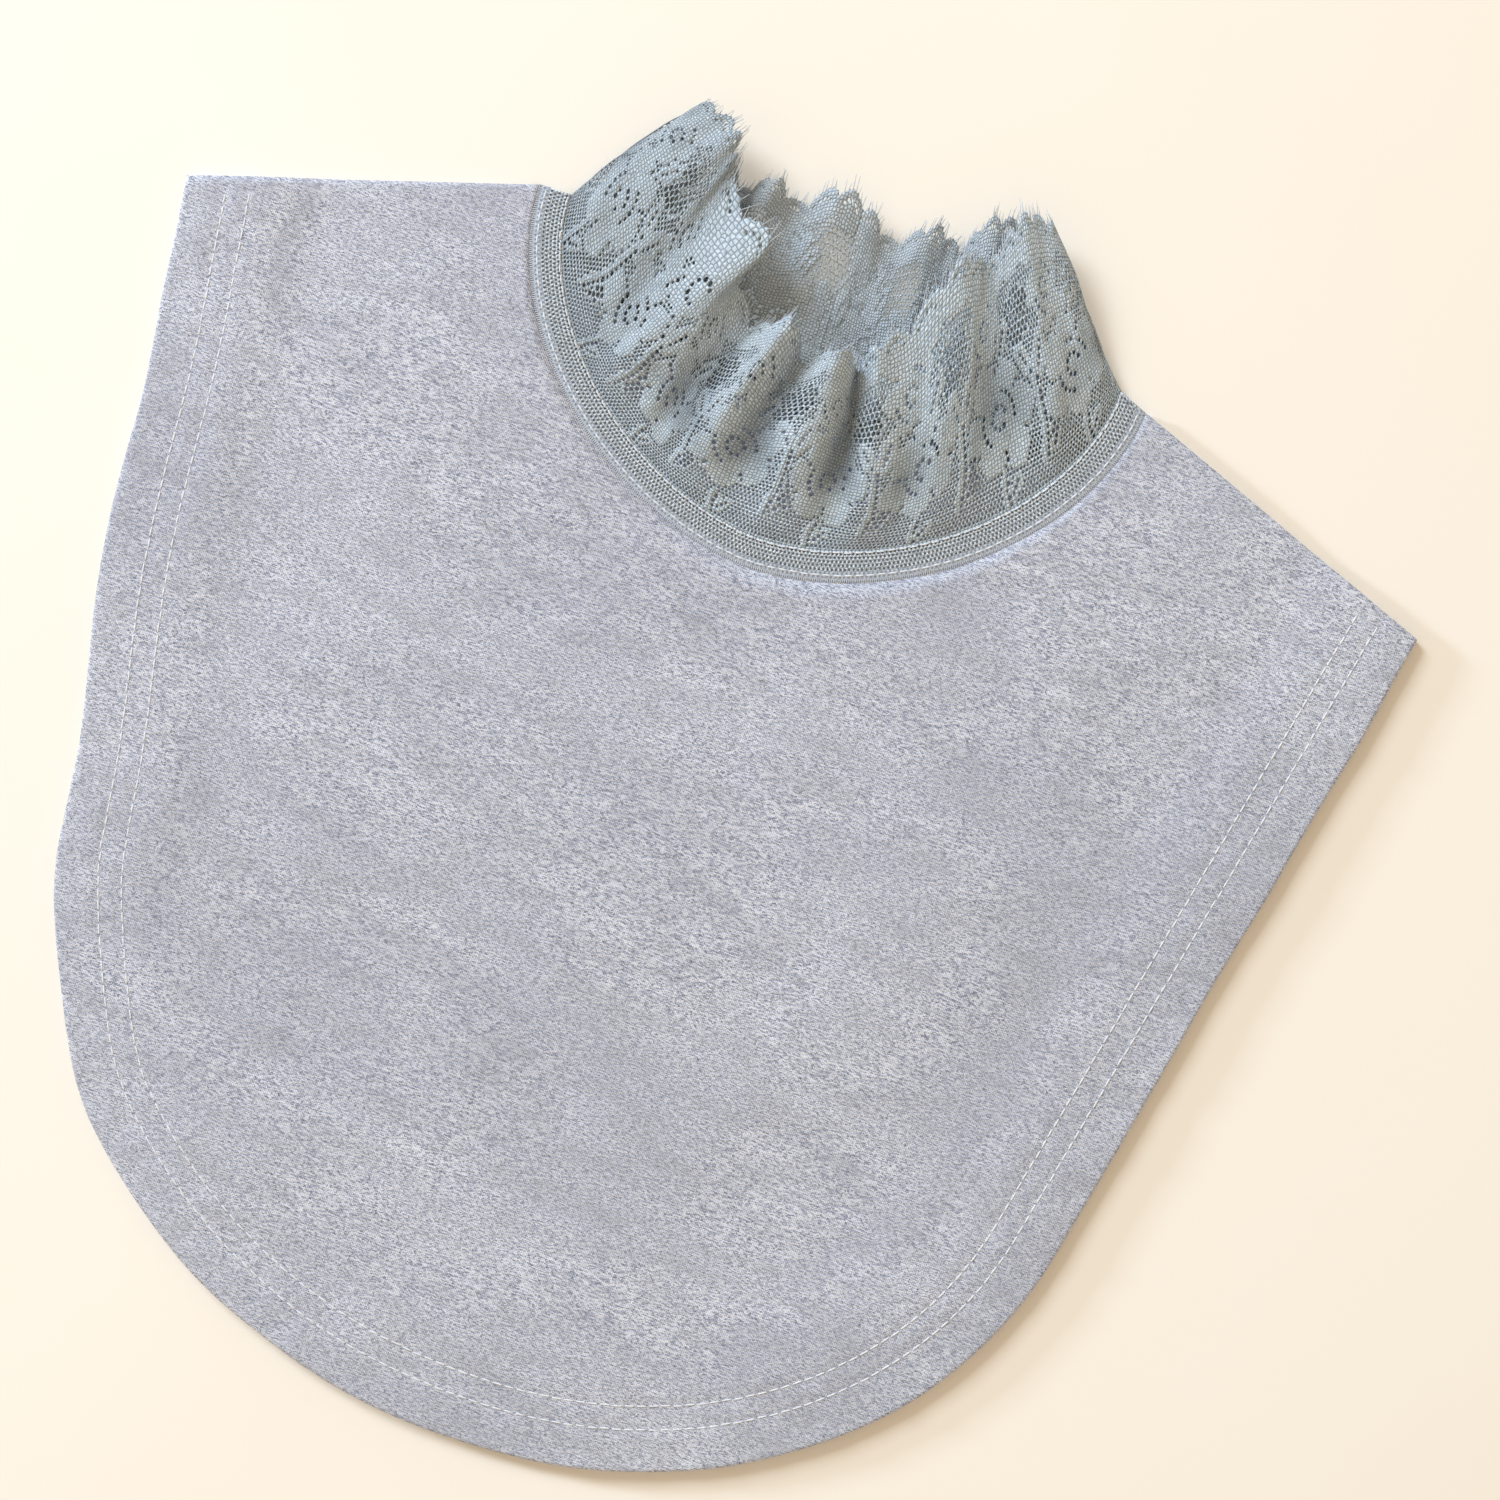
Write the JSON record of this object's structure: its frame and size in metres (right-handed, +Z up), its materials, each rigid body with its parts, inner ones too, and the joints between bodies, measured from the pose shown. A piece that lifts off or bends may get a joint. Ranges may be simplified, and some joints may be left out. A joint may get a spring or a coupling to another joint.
{
  "type": "detachable lace collar",
  "caption": "False collar laid flat: a heather jersey bib with sloped shoulders and a round hem, worn under a jumper, with a gathered lace mock neck.",
  "frame": {"origin": "middle of the laid-out collar's footprint, on the surface it lies on", "axes": "+X along the shoulders towards the wearer's left, +Y from the hem towards the neck, +Z up from the surface, out of the front panel"},
  "size_m": [0.368, 0.3805, 0.0201],
  "materials": {
    "jersey": "fine heather grey-blue single jersey",
    "seam_tape": "narrow ribbed seam tape",
    "lace": "grey-blue knitted lace with a slight sheen",
    "lash": "cut lace threads"
  },
  "bodies": {
    "root": {"back_panel": "jersey", "front_panel": "jersey", "neck_tape_back": "seam_tape", "neck_tape_front": "seam_tape", "net_band_back": "lace", "net_band_front": "lace", "lace_back": "lace", "lace_front": "lace", "lash_fringe_back": "lash", "lash_fringe_front": "lash"}
  },
  "joints": []
}
